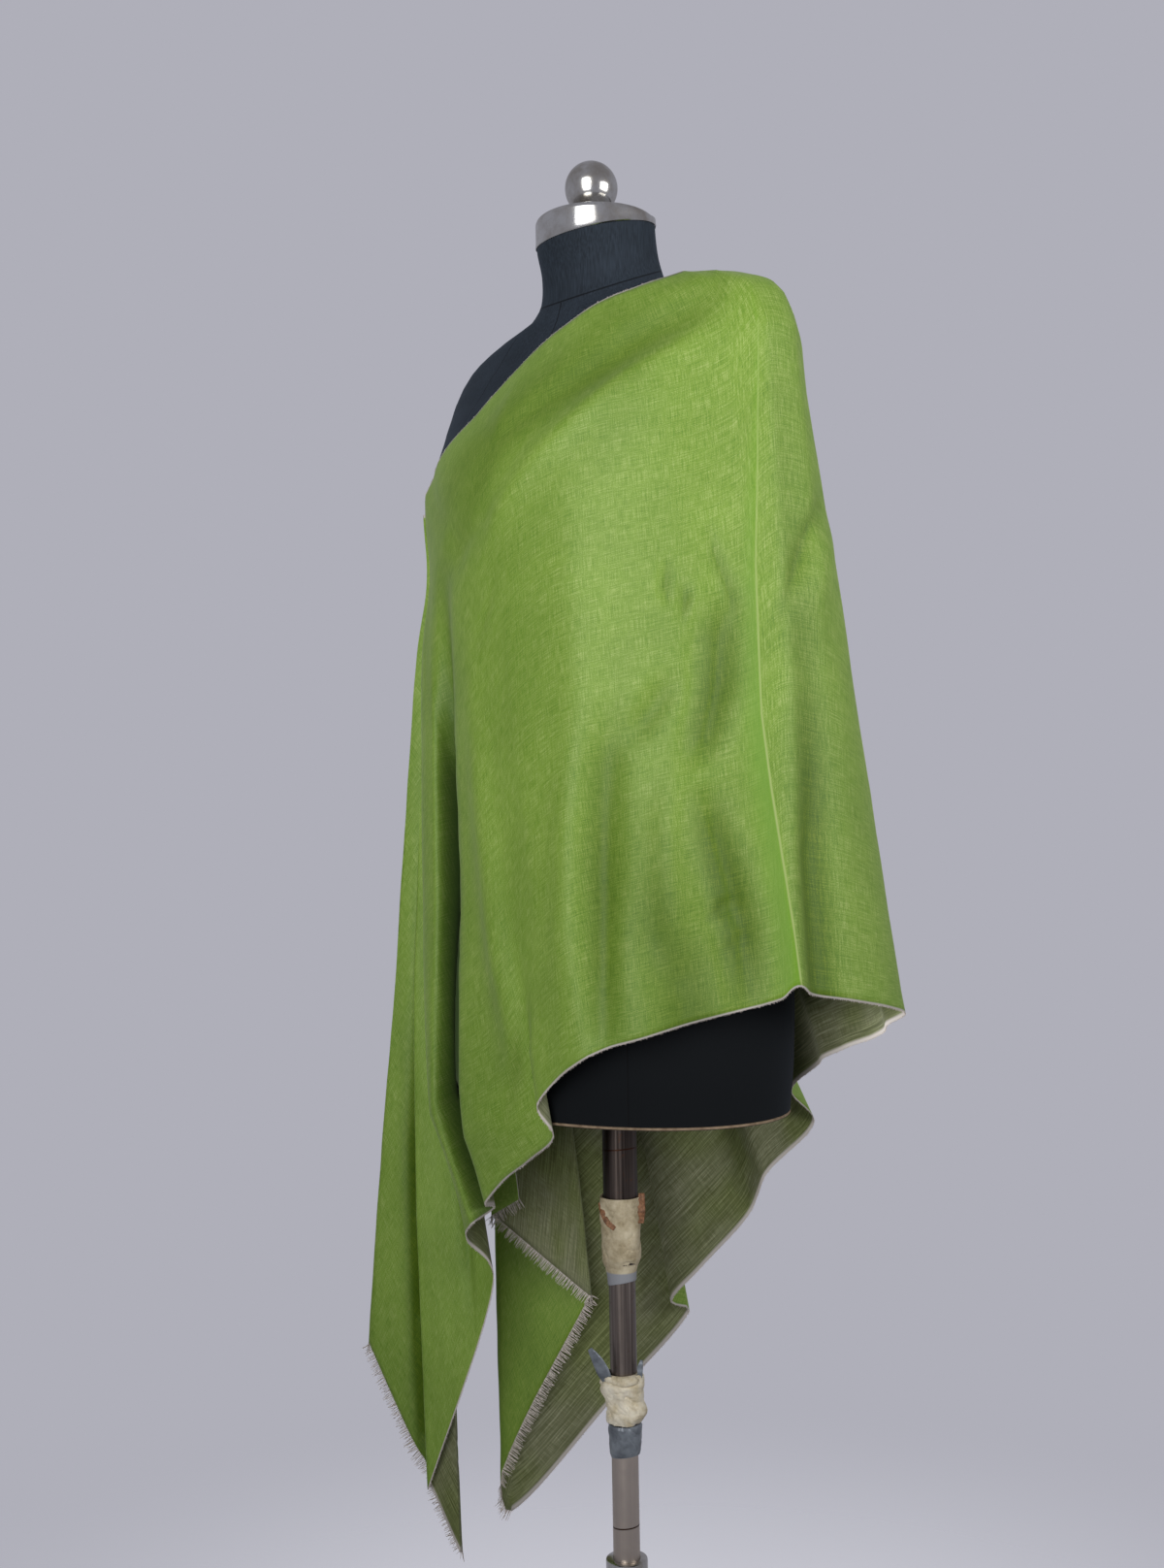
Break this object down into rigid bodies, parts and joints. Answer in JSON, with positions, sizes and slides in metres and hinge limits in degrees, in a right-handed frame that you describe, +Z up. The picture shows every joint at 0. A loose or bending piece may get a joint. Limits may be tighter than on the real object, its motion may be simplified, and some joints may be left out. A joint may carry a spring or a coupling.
{
  "type": "evening stole on dress form and stand",
  "caption": "Oblong wool stole draped from a shoulder to the far underarm of a limbless dress form, its ends hanging in cascades, on a round-based pole.",
  "frame": {"origin": "centre of the underside of the base plate, on the floor", "axes": "+Z up, the form's front faces -Y, its left shoulder is at +X"},
  "size_m": [0.5309, 0.4406, 1.6537],
  "materials": {
    "jersey": "matt black cotton jersey",
    "board": "raw board edge",
    "chrome": "polished",
    "steel": "worn, browned tube",
    "cloth_tape": "cream cloth tape",
    "duct_tape": "satin grey tape",
    "wool": "fine two-sided wool weave, leaf green outside, olive grey inside",
    "warp_ends": "loose warp ends of the eyelash fringe"
  },
  "bodies": {
    "root": {"form_torso": "jersey", "arm_plate_left": "jersey", "arm_plate_right": "jersey", "hip_board": "board", "neck_cap": "chrome", "finial_ball": "chrome", "upper_tube": "steel", "lower_tube": "steel", "tape_wrap_upper": "cloth_tape", "tape_wrap_lower": "cloth_tape", "duct_band": "duct_tape", "collar": "chrome", "base_tube": "chrome", "base_plate": "chrome", "stole_back_end": "wool", "stole_back_panel": "wool", "stole_side_panel": "wool", "stole_front_panel": "wool", "stole_front_end": "wool", "fringe_back_end": "warp_ends", "fringe_front_end": "warp_ends"}
  },
  "joints": []
}
